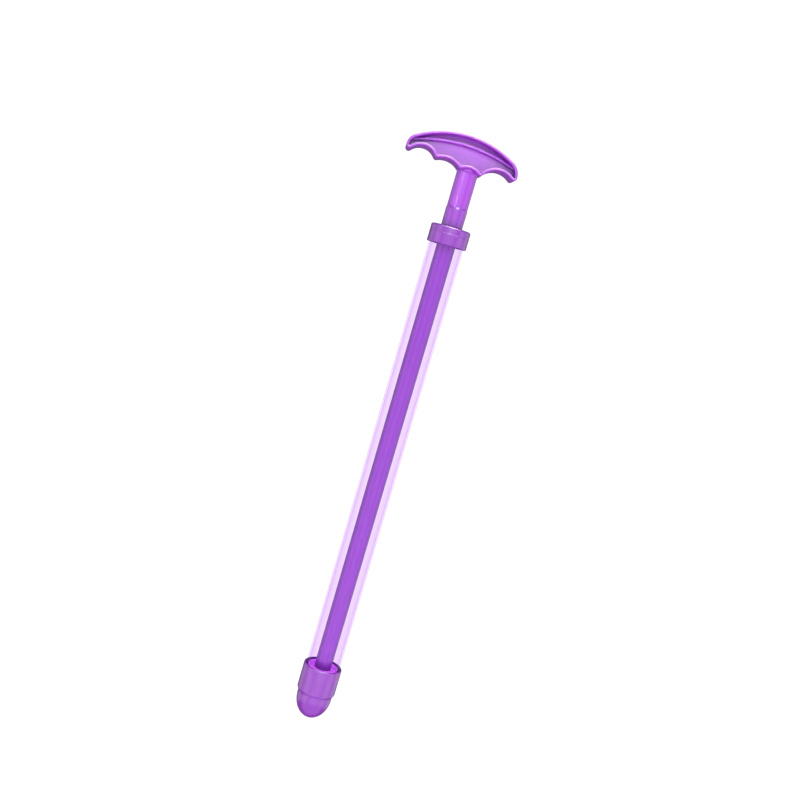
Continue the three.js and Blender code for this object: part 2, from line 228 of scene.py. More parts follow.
# %% Extruded clear PVC
clear_pvc, tree, where = new_finish("extruded_clear_pvc_lavender")
DRAW_LINE_GAP = 1 * MM
DRAW_STRETCH = 0.02
along_draw = add(tree, "ShaderNodeVectorMath", {1: (DRAW_STRETCH, 1.0, 1.0)}, {0: where}, operation="MULTIPLY")
draw_lines = add(
    tree,
    "ShaderNodeTexNoise",
    {"Scale": 1 / DRAW_LINE_GAP, "Detail": 2.0},
    {"Vector": along_draw.outputs[0]},
)
ripple = add(tree, "ShaderNodeBump", {"Strength": 0.2, "Distance": 0.01 * MM}, {"Height": draw_lines.outputs[0]})
glancing = add(tree, "ShaderNodeLayerWeight", {"Blend": 0.5})
tint = add(
    tree,
    "ShaderNodeMix",
    {MIX_A: linear("#FAF6FD"), MIX_B: linear("#F2E6F9")},
    {0: glancing.outputs["Facing"]},
    data_type="RGBA",
)
see_through = add(tree, "ShaderNodeBsdfTransparent", links={"Color": tint.outputs[MIX_RESULT]})
gloss = add(
    tree,
    "ShaderNodeBsdfPrincipled",
    {"Base Color": linear("#E9CBFC"), "Roughness": 0.06, "IOR": 1.53},
    {"Normal": ripple.outputs[0]},
)
steep = add(tree, "ShaderNodeMath", {1: 4.0}, {0: glancing.outputs["Facing"]}, operation="POWER")
share = add(
    tree,
    "ShaderNodeMapRange",
    {"From Min": 0.0, "From Max": 1.0, "To Min": 0.004, "To Max": 0.2},
    {"Value": steep.outputs[0]},
)
wall = add(
    tree,
    "ShaderNodeMixShader",
    links={0: share.outputs[0], 1: see_through.outputs[0], 2: gloss.outputs[0]},
)
add(tree, "ShaderNodeOutputMaterial", links={"Surface": wall.outputs[0]})
print("made", clear_pvc.name)

# %% [markdown]
# The piston's ring is moulded nitrile rubber: nearly black, matt, with a bloom of dust that varies from place to
# place. Its washer and screw are zinc-plated steel, bright but brushed by handling, which is a metal with a
# roughness that wanders.

# %% Nitrile rubber and zinc-plated steel
nitrile, tree, where = new_finish("moulded_nitrile_rubber")
BLOOM_SIZE = 2 * MM
bloom = add(tree, "ShaderNodeTexNoise", {"Scale": 1 / BLOOM_SIZE, "Detail": 4.0}, {"Vector": where})
rubber_colour = add(
    tree,
    "ShaderNodeMix",
    {MIX_A: linear("#161518"), MIX_B: linear("#2B2A2E")},
    {0: bloom.outputs[0]},
    data_type="RGBA",
)
rubber_skin = add(tree, "ShaderNodeBump", {"Strength": 0.3, "Distance": 0.03 * MM}, {"Height": bloom.outputs[0]})
rubber = add(
    tree,
    "ShaderNodeBsdfPrincipled",
    {"Roughness": 0.6, "IOR": 1.52},
    {"Base Color": rubber_colour.outputs[MIX_RESULT], "Normal": rubber_skin.outputs[0]},
)
add(tree, "ShaderNodeOutputMaterial", links={"Surface": rubber.outputs[0]})

zinc, tree, where = new_finish("zinc_plated_steel")
SPANGLE_SIZE = 0.8 * MM
spangle = add(tree, "ShaderNodeTexVoronoi", {"Scale": 1 / SPANGLE_SIZE}, {"Vector": where})
zinc_colour = add(
    tree,
    "ShaderNodeMix",
    {MIX_A: linear("#C9CDD2"), MIX_B: linear("#B4B7BD")},
    {0: spangle.outputs["Distance"]},
    data_type="RGBA",
)
zinc_gloss = add(
    tree,
    "ShaderNodeMapRange",
    {"From Min": 0.0, "From Max": 1.0, "To Min": 0.22, "To Max": 0.4},
    {"Value": spangle.outputs["Distance"]},
)
plating = add(
    tree,
    "ShaderNodeBsdfPrincipled",
    {"Metallic": 1.0},
    {"Base Color": zinc_colour.outputs[MIX_RESULT], "Roughness": zinc_gloss.outputs[0]},
)
add(tree, "ShaderNodeOutputMaterial", links={"Surface": plating.outputs[0]})
print("made", nitrile.name, "and", zinc.name)

# %% [markdown]
# Most pieces are round, and a round piece is its half section spun about the axis. No moulded edge is truly
# sharp, and it is the small rounds that catch the light, so a section is written as corners (along, radius, round)
# and one function rounds each corner off before the spin. Pieces that aren't round are rings of points with a skin
# over them. A piece is drawn in millimetres, carried into the frame, and then given its finish, slot and body.


# %% Sections, spinning and finishing
def soften(corners):
    """A closed section of (along, radius, round) corners as points, with the corners rounded."""
    points = []
    for i, (along, radius, rounding) in enumerate(corners):
        here = Vector((along, radius))
        if not rounding:
            points.append(here)
            continue
        to_last = (Vector(corners[i - 1][:2]) - here).normalized()
        to_next = (Vector(corners[(i + 1) % len(corners)][:2]) - here).normalized()
        half = to_last.angle(to_next) / 2
        centre = here + (to_last + to_next).normalized() * (rounding / math.sin(half))
        spoke = here + to_last * (rounding / math.tan(half)) - centre
        sweep = -spoke.angle_signed(here + to_next * (rounding / math.tan(half)) - centre)
        steps = max(3, math.ceil(abs(sweep) / ROUND_STEP))
        for k in range(steps + 1):
            turn = Matrix.Rotation(sweep * k / steps, 2)
            points.append(centre + turn @ spoke)
    return points


def spun(points, sides):
    """A section turned once about the axis, as an open bmesh in millimetres."""
    shape = bmesh.new()
    ring = [shape.verts.new((p.x, p.y, 0)) for p in points]
    edges = [shape.edges.new((ring[i - 1], ring[i])) for i in range(len(ring))]
    bmesh.ops.spin(
        shape,
        geom=ring + edges,
        cent=(0, 0, 0),
        axis=(1, 0, 0),
        angle=2 * math.pi,
        steps=sides,
        use_merge=True,
    )
    bmesh.ops.remove_doubles(shape, verts=shape.verts, dist=1e-4)
    bmesh.ops.recalc_face_normals(shape, faces=shape.faces)
    return shape


def skinned(shape, rings):
    """A bmesh with a closed skin over its rings of points, which all have as many points."""
    for lower, upper in zip(rings, rings[1:]):
        for j in range(len(lower)):
            shape.faces.new((lower[j - 1], lower[j], upper[j], upper[j - 1]))
    shape.faces.new(rings[0])
    shape.faces.new(rings[-1])
    bmesh.ops.recalc_face_normals(shape, faces=shape.faces)
    return shape


def as_object(name, shape, to_frame):
    """A bmesh in millimetres as an object whose mesh lies in the frame."""
    bmesh.ops.transform(shape, matrix=to_frame, verts=shape.verts)
    mesh = bpy.data.meshes.new(name)
    shape.to_mesh(mesh)
    shape.free()
    made = bpy.data.objects.new(name, mesh)
    bpy.context.scene.collection.objects.link(made)
    return made


def dress(made, finish, node, sharp=35):
    """Gives a piece its finish, smooth shading and its body, and lets it stand for a node."""
    made.data.materials.clear()
    made.data.materials.append(finish)
    made.data.shade_smooth()
    made.data.set_sharp_from_angle(angle=math.radians(sharp))
    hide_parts(node)
    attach(made, frame["nodes"][node]["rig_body"])
    squirter.objects.link(made)
    print(made.name, "stands for", node, "with", len(made.data.polygons), "faces")


squirter = bpy.data.collections.new("squirter")
ROUND_STEP = math.radians(15)
SIDES = 96
FIT_GAP = 0.25
print("round pieces have", SIDES, "sides, and pieces that fit stand", FIT_GAP, "mm apart")

# %% [markdown]
# The barrel's tube is a plain extrusion, cut square at both ends. Both of its walls are drawn, because the eye
# sees four surfaces through it.

# %% Barrel tube
TUBE_R = 15.0
TUBE_BORE_R = 13.5
TUBE_START = 3.25
TUBE_END = 415.25
tube_section = soften(
    [
        (TUBE_START, TUBE_R, 0.3),
        (TUBE_END, TUBE_R, 0.3),
        (TUBE_END, TUBE_BORE_R, 0.2),
        (TUBE_START, TUBE_BORE_R, 0.2),
    ]
)
tube = as_object("clear_tube", spun(tube_section, SIDES), ON_AXIS)
dress(tube, clear_pvc, "barrel_tube")

# %% [markdown]
# The collar is a cap that is pushed over the tube's rear end. Its top edge is well rounded. The two halves of its
# mould met on a line under that edge, and the thin bead they left there picks up two small glints in the photo.

# %% Rear collar
COLLAR_R = 17.0
COLLAR_HEIGHT = 15.4
COLLAR_ROOF = 3.0
GUIDE_R = 8.3
SOCKET_R = TUBE_R + FIT_GAP
PARTING_AT = 6.4
PARTING_HALF = 0.35
PARTING_HEIGHT = 0.15
collar_section = soften(
    [
        (0, GUIDE_R, 0.4),
        (0, COLLAR_R, 1.6),
        (PARTING_AT - PARTING_HALF, COLLAR_R, 0.1),
        (PARTING_AT, COLLAR_R + PARTING_HEIGHT, 0.2),
        (PARTING_AT + PARTING_HALF, COLLAR_R, 0.1),
        (COLLAR_HEIGHT, COLLAR_R, 0.35),
        (COLLAR_HEIGHT, SOCKET_R, 0.3),
        (COLLAR_ROOF, SOCKET_R, 0.2),
        (COLLAR_ROOF, GUIDE_R, 0.3),
    ]
)
collar = as_object("collar_moulding", spun(collar_section, SIDES), ON_AXIS)
dress(collar, plum, "rear_collar")

# %% [markdown]
# The nozzle cap is a sleeve over the tube's front end. A chamfer and a small step lead down to the dome, which
# ends in a flat lip round the hole that the water leaves by. The dome is one arc, so it is listed point by point.

# %% Nozzle cap
CAP_RIM = 395.5
CAP_SHOULDER = 415.5
CAP_CHAMFER = 418.8
DOME_START = 421.0
DOME_CENTRE = 424.7
CAP_R = 17.0
CHAMFER_DEPTH = 1.1
DOME_R = 15.4
DOME_LENGTH = 19.75
DOME_BORE_R = 13.0
NOZZLE_R = 1.5
NOZZLE_FACE_R = 2.8


def dome_arc(radius, from_r, to_r, steps=28):
    """Points of the dome's curve, a circle drawn out along the axis, between two distances from it."""
    start, end = math.asin(from_r / radius), math.asin(to_r / radius)
    angles = [start + (end - start) * k / steps for k in range(steps + 1)]
    length = radius * DOME_LENGTH / DOME_R
    return [(DOME_CENTRE + length * math.cos(a), radius * math.sin(a), 0) for a in angles]


dome_outside = dome_arc(DOME_R, DOME_R, NOZZLE_FACE_R)
nozzle_face = dome_outside[-1][0]
cap_section = soften(
    [
        (CAP_RIM, SOCKET_R, 0.4),
        (CAP_RIM, CAP_R, 1.2),
        (CAP_CHAMFER, CAP_R, 0.6),
        (DOME_START, CAP_R - CHAMFER_DEPTH, 0.2),
        (DOME_START, DOME_R, 0.15),
        *dome_outside,
        (nozzle_face, NOZZLE_R + 0.4, 0),
        (nozzle_face - 0.4, NOZZLE_R, 0),
        *dome_arc(DOME_BORE_R, NOZZLE_R, DOME_BORE_R),
        (CAP_SHOULDER, DOME_BORE_R, 0.3),
        (CAP_SHOULDER, SOCKET_R, 0.2),
    ]
)
cap = as_object("nozzle_moulding", spun(cap_section, SIDES), ON_AXIS)
dress(cap, plum, "nozzle_cap")

# %% [markdown]
# The rod is a long hollow moulding, a little thinner at the piston so that it slides out of its mould. Its rear
# end is a bell, which takes the grip's stem and stops just short of the collar. The bell's bevelled edge is the
# bright ring under the stem.

# %% Plunger rod
ROD_TOP_R = 8.0
ROD_END_R = 7.5
ROD_BORE_R = 6.2
BELL_TOP = -17.0
BELL_FOOT = -0.6
BELL_R = 9.2
BELL_FOOT_R = 9.05
BEVEL_LENGTH = 1.8
BEVEL_DEPTH = 0.35
ROD_END = 405.05
ROD_BORE_END = 383.05
SCREW_HOLE_R = 1.95
rod_section = soften(
    [
        (BELL_TOP, ROD_BORE_R, 0.3),
        (BELL_TOP, BELL_R - BEVEL_DEPTH, 0.1),
        (BELL_TOP + BEVEL_LENGTH, BELL_R, 0.6),
        (BELL_FOOT, BELL_FOOT_R, 0.3),
        (BELL_FOOT, ROD_TOP_R, 0.15),
        (ROD_END, ROD_END_R, 0.4),
        (ROD_END, SCREW_HOLE_R, 0.2),
        (ROD_BORE_END, SCREW_HOLE_R, 0),
        (ROD_BORE_END, ROD_BORE_R - 0.5, 0.5),
    ]
)
rod = as_object("rod_moulding", spun(rod_section, SIDES), ON_AXIS)
dress(rod, violet, "plunger_rod")

# %% [markdown]
# The piston is a cup with a hub for the rod's end and six thin ribs between the two, which show through the tube
# just above the cap. The round part is spun. The ribs are boxes, and a Boolean modifier joins them to it, so the
# piston is one closed skin, as the real moulding is.


# %% Joining tool
def combine(made, tool, operation):
    """Joins a second object to the first, or cuts it out of it, and deletes it."""
    step = made.modifiers.new("combine", "BOOLEAN")
    step.object = tool
    step.operation = operation
    step.solver = "EXACT"
    looked_at = bpy.context.evaluated_depsgraph_get()
    mesh = bpy.data.meshes.new_from_object(made.evaluated_get(looked_at))
    made.modifiers.clear()
    old, made.data = made.data, mesh
    bpy.data.meshes.remove(old)
    mesh.name = made.name
    tool_mesh = tool.data
    bpy.data.objects.remove(tool)
    bpy.data.meshes.remove(tool_mesh)


# %% Piston
PISTON_TOP = 396.3
PISTON_FACE = 413.3
PISTON_R = 13.2
CUP_BORE_R = 11.9
CUP_FLOOR = PISTON_TOP + 6
HUB_TOP = PISTON_TOP + 1.2
SEAT_FLOOR = PISTON_TOP + 9
SEAT_R = ROD_END_R + FIT_GAP
HUB_R = SEAT_R + 1.5
RING_AT = PISTON_FACE - 4.2
RING_SECTION_R = 1.5
RING_R = TUBE_BORE_R - FIT_GAP - RING_SECTION_R
GROOVE_HALF = RING_SECTION_R + FIT_GAP
GROOVE_R = RING_R - GROOVE_HALF
piston_section = soften(
    [
        (PISTON_TOP, CUP_BORE_R, 0.3),
        (PISTON_TOP, PISTON_R, 0.3),
        (RING_AT - GROOVE_HALF, PISTON_R, 0.2),
        (RING_AT - GROOVE_HALF, GROOVE_R, 0.2),
        (RING_AT + GROOVE_HALF, GROOVE_R, 0.2),
        (RING_AT + GROOVE_HALF, PISTON_R, 0.2),
        (PISTON_FACE, PISTON_R, 0.4),
        (PISTON_FACE, SCREW_HOLE_R, 0.2),
        (SEAT_FLOOR, SCREW_HOLE_R, 0.2),
        (SEAT_FLOOR, SEAT_R, 0.3),
        (HUB_TOP, SEAT_R, 0.3),
        (HUB_TOP, HUB_R, 0.3),
        (CUP_FLOOR, HUB_R, 0.5),
        (CUP_FLOOR, CUP_BORE_R, 0.5),
    ]
)
piston = as_object("piston_moulding", spun(piston_section, SIDES), ON_AXIS)
RIB_COUNT = 6
RIB_WIDTH = 1.4
RIB_ROOT = 0.6
ribs = bmesh.new()
rib_size = Matrix.Diagonal((CUP_FLOOR - HUB_TOP + RIB_ROOT, RIB_WIDTH, CUP_BORE_R - HUB_R + 2 * RIB_ROOT, 1))
rib_place = Matrix.Translation(((CUP_FLOOR + HUB_TOP + RIB_ROOT) / 2, 0, (HUB_R + CUP_BORE_R) / 2))
for i in range(RIB_COUNT):
    turn = Matrix.Rotation((i + 0.5) * 2 * math.pi / RIB_COUNT, 4, "X")
    bmesh.ops.create_cube(ribs, size=1, matrix=turn @ rib_place @ rib_size)
combine(piston, as_object("piston_ribs", ribs, ON_AXIS), "UNION")
dress(piston, painted_light_piston_plastic, "piston_head")

# %% [markdown]
# The ring is a plain O-ring, a circle spun round the axis. The washer is a stamped disc with softened edges.

# %% Ring and washer
RING_STEPS = 24
ring_angles = [2 * math.pi * k / RING_STEPS for k in range(RING_STEPS)]
ring_points = [
    Vector((RING_AT + RING_SECTION_R * math.cos(a), RING_R + RING_SECTION_R * math.sin(a))) for a in ring_angles
]
ring = as_object("seal_ring", spun(ring_points, SIDES), ON_AXIS)
dress(ring, nitrile, "piston_ring")
WASHER_BACK = PISTON_FACE + FIT_GAP
WASHER_THICKNESS = 1
WASHER_FRONT = WASHER_BACK + WASHER_THICKNESS
WASHER_R = 6.5
WASHER_SIDES = 64
washer_section = soften(
    [
        (WASHER_BACK, SCREW_HOLE_R, 0.15),
        (WASHER_BACK, WASHER_R, 0.25),
        (WASHER_FRONT, WASHER_R, 0.15),
        (WASHER_FRONT, SCREW_HOLE_R, 0.25),
    ]
)
washer = as_object("flat_washer", spun(washer_section, WASHER_SIDES), ON_AXIS)
dress(washer, zinc, "piston_washer")

# %% [markdown]
# The screw is a self-tapping one with a pan head and a cross recess. A thread is a radius that rises and falls
# along the shank and shifts once round per pitch, so a fine grid of rings with that radius draws it. The recess is
# two crossed bars cut out of the head, one after the other, since a cutter that runs through itself can empty the
# whole mesh.

# %% Screw
HEAD_BACK = WASHER_FRONT + FIT_GAP
SCREW_R = 1.7
CORE_R = 1.2
SCREW_LENGTH = 20.0
POINT_LENGTH = 2.0
PITCH = 1.4
HEAD_R = 3.5
HEAD_HEIGHT = 2.4
HEAD_EDGE = 0.9
HEAD_FALL = 2.2
TIP_SHARE = 0.02
CREST_SLOPE = 3.2
SCREW_SIDES = 32
THREAD_ROWS = 170
RECESS_LENGTH = 2.6
RECESS_WIDTH = 0.6
RECESS_DEPTH = 1.2
shape = bmesh.new()
around = [2 * math.pi * j / SCREW_SIDES for j in range(SCREW_SIDES)]
rows = []
for i in range(THREAD_ROWS + 1):
    along = HEAD_BACK - SCREW_LENGTH * (1 - i / THREAD_ROWS)
    from_tip = along - HEAD_BACK + SCREW_LENGTH
    taper = min(1, TIP_SHARE + from_tip / POINT_LENGTH)
    rising = min(1, max(0, (HEAD_BACK - along) / PITCH))
    row = []
    for j, angle in enumerate(around):
        phase = (along / PITCH - j / SCREW_SIDES) % 1
        crest = max(0, 1 - abs(phase - 0.5) * CREST_SLOPE)
        radius = (CORE_R + (SCREW_R - CORE_R) * crest * rising) * taper
        row.append(shape.verts.new((along, radius * math.cos(angle), radius * math.sin(angle))))
    rows.append(row)
head_profile = [(0, HEAD_R - 0.1), (0.2, HEAD_R), (HEAD_EDGE, HEAD_R)]
for a in (0.3, 0.6, 0.9, 1.2, math.pi / 2):
    dome_height = (HEAD_HEIGHT - HEAD_EDGE) * math.sin(a)
    head_profile.append((HEAD_EDGE + dome_height, HEAD_R - HEAD_FALL * (1 - math.cos(a))))
for ahead, radius in head_profile:
    spots = [(HEAD_BACK + ahead, radius * math.cos(a), radius * math.sin(a)) for a in around]
    rows.append([shape.verts.new(spot) for spot in spots])
screw = as_object("tapping_screw", skinned(shape, rows), ON_AXIS)
for across, up in ((RECESS_LENGTH, RECESS_WIDTH), (RECESS_WIDTH, RECESS_LENGTH)):
    slot_bar = bmesh.new()
    bar = Matrix.Translation((HEAD_BACK + HEAD_HEIGHT, 0, 0)) @ Matrix.Diagonal((2 * RECESS_DEPTH, across, up, 1))
    bmesh.ops.create_cube(slot_bar, size=1, matrix=bar)
    combine(screw, as_object("recess_bar", slot_bar, ON_AXIS), "DIFFERENCE")
dress(screw, zinc, "piston_screw")

# %% [markdown]
# The grip takes the most care. It is an I-section: a thin web with a deep rim all round it and a thin rib across
# it. Its outline is a chain of arcs that touch each other: a flat crown, two blunt ends, three finger hollows,
# small ridges between them and an arch over the stem. An arc is written as (height, reach, radius), and one that
# hollows the outline has a radius below zero. Since arcs stay arcs when the outline is drawn in, every layer of the
# rim has the same points, and the rim can be lofted from layer to layer.

# %% Grip outline
STEM_FOOT = BELL_TOP - FIT_GAP
STEM_LENGTH = 32.0
GRIP_DEPTH = 25.75
CROWN_TOP = STEM_LENGTH + GRIP_DEPTH
CROWN_R = 83.5
CROWN_SHIFT = 8.0
LONG_REACH = 55.5
LONG_END_R = 9.4
SHORT_REACH = 39.9
SHORT_END_R = 13.5
ARCH_R = 12.5
LIP = 2.4
TIP_R = LIP + 0.5
RIDGE_R = LIP + 0.3


def crown_height(across):
    """The height of the crown at a reach from the stem."""
    return CROWN_TOP - CROWN_R + math.sqrt(CROWN_R**2 - (across - CROWN_SHIFT) ** 2)


def hollow(across, below_crown, radius):
    """The arc of a finger hollow that reaches up to some way below the crown."""
    return (crown_height(across) - below_crown - radius, across, -radius)


def blunt_end(reach, radius):
    """The arc of an end of the grip, which touches the crown's arc from inside."""
    across = math.copysign(abs(reach) - radius, reach)
    height = CROWN_TOP - CROWN_R + math.sqrt((CROWN_R - radius) ** 2 - (across - CROWN_SHIFT) ** 2)
    return (height, across, radius)


def round_between(first, second, radius):
    """A small round that touches two arcs, on the right of the line from the first to the second."""
    start = Vector(first[:2])
    line = Vector(second[:2]) - start
    near, far = abs(first[2] - radius), abs(second[2] - radius)
    along = (near**2 - far**2 + line.length_squared) / (2 * line.length)
    aside = math.sqrt(near**2 - along**2)
    forward = line.normalized()
    centre = start + forward * along + Vector((forward.y, -forward.x)) * aside
    return (centre.x, centre.y, radius)


crown = (CROWN_TOP - CROWN_R, CROWN_SHIFT, CROWN_R)
long_end = blunt_end(LONG_REACH, LONG_END_R)
short_end = blunt_end(-SHORT_REACH, SHORT_END_R)
outer_hollow = hollow(40.7, below_crown=11.8, radius=12.8)
inner_hollow = hollow(20.35, below_crown=22.1, radius=17)
short_hollow = hollow(-24.9, below_crown=14.1, radius=16)
stem_arch = (STEM_LENGTH - ARCH_R, 0, -ARCH_R)
grip_arcs = [
    crown,
    long_end,
    round_between(long_end, outer_hollow, TIP_R),
    outer_hollow,
    round_between(inner_hollow, outer_hollow, RIDGE_R),
    inner_hollow,
    round_between(stem_arch, inner_hollow, RIDGE_R),
    stem_arch,
    round_between(short_hollow, stem_arch, RIDGE_R),
    short_hollow,
    round_between(short_hollow, short_end, TIP_R),
    short_end,
]
ARC_STEPS = [48, 18, 12, 20, 8, 18, 8, 12, 8, 22, 12, 20]


def grip_outline(inset):
    """The grip's outline as points (height, reach), drawn in by inset all round."""
    arcs = [(x, y, r - inset) for x, y, r in grip_arcs]
    touches = []
    for (x, y, r), (x2, y2, r2) in zip(arcs, arcs[1:] + arcs[:1]):
        toward = Vector((x2 - x, y2 - y)).normalized()
        touches.append(Vector((x, y)) + toward * math.copysign(r, r * (r - r2)))
    points = []
    for i, (x, y, r) in enumerate(arcs):
        centre = Vector((x, y))
        start, end = touches[i - 1] - centre, touches[i] - centre
        first, last = math.atan2(start.y, start.x), math.atan2(end.y, end.x)
        sense = math.copysign(1, r)
        sweep = ((last - first) * sense) % (2 * math.pi)
        for k in range(ARC_STEPS[i]):
            angle = first + sense * sweep * k / ARC_STEPS[i]
            points.append(centre + abs(r) * Vector((math.cos(angle), math.sin(angle))))
    return points


print("outline has", len(grip_outline(0)), "points")

# %% [markdown]
# From the side the rim is a wall with a lip. The lip's crest is a flat ellipse and not half a circle, because the
# photo has a broad bright line there, and a flat crest turns more of itself up to the light. The mould's two halves
# met half-way up, so the wall leans in a little towards each lip. The layers below give inset and height from the
# web's edge, over the lip, to the mid-plane. The same list upside down makes the other face.

# %% Rim and web
HALF_GRIP = 13.5
LIP_ROUND = 1.1
LIP_SWELL = 0.6
LEAN = 0.12
HALF_WEB = 1.5
WEB_ROUND = 0.25
quarter = [math.radians(15 * k) for k in range(7)]
web_edge = LIP + WEB_ROUND
web_foot = HALF_WEB + WEB_ROUND
layers = [(web_edge - WEB_ROUND * math.sin(a), web_foot - WEB_ROUND * math.cos(a)) for a in quarter]
inner_lip = LIP - LEAN - LIP_ROUND
lip_foot = HALF_GRIP - LIP_SWELL
layers += [(inner_lip + LIP_ROUND * math.cos(a), lip_foot + LIP_SWELL * math.sin(a)) for a in quarter]
outer_lip = LEAN + LIP_ROUND
layers += [(outer_lip - LIP_ROUND * math.sin(a), lip_foot + LIP_SWELL * math.cos(a)) for a in quarter]
layers += [(0, 0)]
layers += [(inset, -height) for inset, height in reversed(layers[:-1])]
GRIP = ON_AXIS @ Matrix.Translation((STEM_FOOT, 0, 0)) @ Matrix.Rotation(math.pi, 4, "Z")


def lofted(stack):
    """A closed solid through layers of (inset, height), each with the grip's outline."""
    loft = bmesh.new()
    rings = [[loft.verts.new((p.x, p.y, height)) for p in grip_outline(inset)] for inset, height in stack]
    return skinned(loft, rings)


grip = as_object("grip_moulding", lofted(layers), GRIP)
print("rim has", len(grip.data.polygons), "faces")

# %% [markdown]
# The rib is a thin bar that follows an arc flatter than the crown and dies into the rim at both ends. Its crests
# are flat ellipses, as the lips are, and it goes through the web, so one bar makes the rib on both faces. It is
# followed outwards from the middle in small steps until it has left the grip's outline, which tells where it ends.

# %% Rib
RIB_ARC_R = 132.0
RIB_HALF = 1.2
RIB_SWELL = 0.5
RIB_CREST = 6.0
RIB_BELOW_CROWN = 7.7
CREST_STEPS = 16
SEARCH_STEP = 0.0005
rib_centre = CROWN_TOP - RIB_BELOW_CROWN - RIB_ARC_R
crest_angles = [math.pi * k / CREST_STEPS for k in range(CREST_STEPS + 1)]
rib_section = [(RIB_HALF * math.cos(a), RIB_CREST - RIB_SWELL + RIB_SWELL * math.sin(a)) for a in crest_angles]
rib_section += [(-x, -z) for x, z in rib_section]
rib_border = grip_outline(LIP / 2)


def inside(point, border):
    """True if a point lies within a closed border."""
    found = False
    for a, b in zip(border, border[1:] + border[:1]):
        if (a.y > point.y) != (b.y > point.y) and point.x < a.x + (b.x - a.x) * (point.y - a.y) / (b.y - a.y):
            found = not found
    return found


def rib_point(angle):
    """A point of the rib's middle line."""
    return Vector((rib_centre + RIB_ARC_R * math.cos(angle), CROWN_SHIFT + RIB_ARC_R * math.sin(angle)))


rib_ends = []
for side in (-1, 1):
    angle = 0
    while inside(rib_point(angle), rib_border):
        angle += side * SEARCH_STEP
    rib_ends.append(angle)
RIB_STEPS = 90
loft = bmesh.new()
rings = []
for k in range(RIB_STEPS + 1):
    angle = rib_ends[0] + (rib_ends[1] - rib_ends[0]) * k / RIB_STEPS
    out = Vector((math.cos(angle), math.sin(angle)))
    spots = [(rib_point(angle) + out * x, z) for x, z in rib_section]
    rings.append([loft.verts.new((p.x, p.y, z)) for p, z in spots])
combine(grip, as_object("grip_rib", skinned(loft, rings), GRIP), "UNION")
print("rib runs over", round(math.degrees(rib_ends[1] - rib_ends[0]), 1), "degrees")

# %% [markdown]
# The stem is spun like the other round pieces, with a spigot that fills the rod's bell and a flare where it meets
# the rim. What would stand in the web's space is cut off first, so only the wall of the rim takes the stem in. The
# level faces are shaded flat at the end, because smooth shading would bend the light over a face as large as the web.

# %% Stem
STEM_FOOT_R = BELL_R - BEVEL_DEPTH
STEM_TOP_R = STEM_FOOT_R + 0.1
STEM_FACE = 0.03 - FIT_GAP
STEM_BORE_R = 4
STEM_BORE_END = 27
FLARE_R = 1.2
FLARE_EDGE_R = STEM_TOP_R + FLARE_R + 0.3
SPIGOT_R = ROD_BORE_R - FIT_GAP
SPIGOT_LENGTH = 13
AXIS_R = 0.01
LEVEL = 0.9999
stem_core = spun(
    soften(
        [
            (-SPIGOT_LENGTH, STEM_BORE_R, 0.4),
            (-SPIGOT_LENGTH, SPIGOT_R, 0.5),
            (STEM_FACE, SPIGOT_R, 0.1),
            (STEM_FACE, STEM_FOOT_R, 0.1),
            (STEM_LENGTH - LIP, STEM_TOP_R, FLARE_R),
            (STEM_LENGTH - LIP, FLARE_EDGE_R, 0),
            (STEM_LENGTH + LIP, FLARE_EDGE_R, 0),
            (STEM_LENGTH + LIP, AXIS_R, 0),
            (STEM_BORE_END, AXIS_R, 0),
            (STEM_BORE_END, STEM_BORE_R, 0.5),
        ]
    ),
    SIDES,
)
stem = as_object("grip_stem", stem_core, GRIP)
web_space = lofted([(LIP / 2, -2 * HALF_GRIP), (LIP / 2, 2 * HALF_GRIP)])
combine(stem, as_object("web_space", web_space, GRIP), "DIFFERENCE")
combine(grip, stem, "UNION")
dress(grip, purple, "handle", sharp=28)
for face in grip.data.polygons:
    face.use_smooth = abs(face.normal.z) < LEVEL
print("level faces:", sum(not face.use_smooth for face in grip.data.polygons))

# %% [markdown]
# The floor is matt white paper with a fine fibre. It is bright, and a glossy purple wall near the table would mirror
# it and turn grey, so the paper is kept out of what the gloss shows. The sky is dim, because panels do the lighting.

# %% Floor and sky
FIBRE_SIZE = 3 * MM
FLOOR_HALF = 6000
FLOOR_DROP = 0.0003
paper, tree, where = new_finish("matt_white_paper")
fibre = add(tree, "ShaderNodeTexNoise", {"Scale": 1 / FIBRE_SIZE, "Detail": 4.0}, {"Vector": where})
paper_colour = add(
    tree,
    "ShaderNodeMix",
    {MIX_A: linear("#F6F6F6"), MIX_B: linear("#FAFAFA")},
    {0: fibre.outputs[0]},
    data_type="RGBA",
)
sheet = add(
    tree,
    "ShaderNodeBsdfPrincipled",
    {"Roughness": 0.9, "Specular IOR Level": 0.1},
    {"Base Color": paper_colour.outputs[MIX_RESULT]},
)
add(tree, "ShaderNodeOutputMaterial", links={"Surface": sheet.outputs[0]})
ground = bmesh.new()
bmesh.ops.create_grid(ground, x_segments=8, y_segments=8, size=FLOOR_HALF)
floor = as_object("studio_floor", ground, Matrix.Translation((0, 0, -FLOOR_DROP)) @ Matrix.Scale(MM, 4))
floor.data.materials.append(paper)
floor.visible_glossy = False
floor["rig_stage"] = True

scene = bpy.context.scene
scene.world = bpy.data.worlds.new("studio_sky")
scene.world.use_nodes = True
sky = scene.world.node_tree.nodes["Background"]
sky.inputs["Color"].default_value = linear("#FFFFFF")
sky.inputs["Strength"].default_value = 0.15
scene.view_settings.view_transform = "Standard"
print("floor is", 2 * FLOOR_HALF, "mm wide")

# %% [markdown]
# The photo was taken in a light tent: the light is nearly even, white streaks run along the round pieces, and the
# paper has no shadow. Panels on top, in front and at the nose are the tent. A key beyond the grip whitens the web
# and leaves the walls of its rim deep. The panels at the sides, behind and below show in the gloss alone, since a
# streak is wanted there and no more light on the colour. Four small lamps light one piece each: the piston, the
# stem's streak, the cap's mouth and the web. Light linking gives a lamp the collection that it lights, and only
# that collection casts its shadows, so the paper is lit by a sun of its own and stays white.


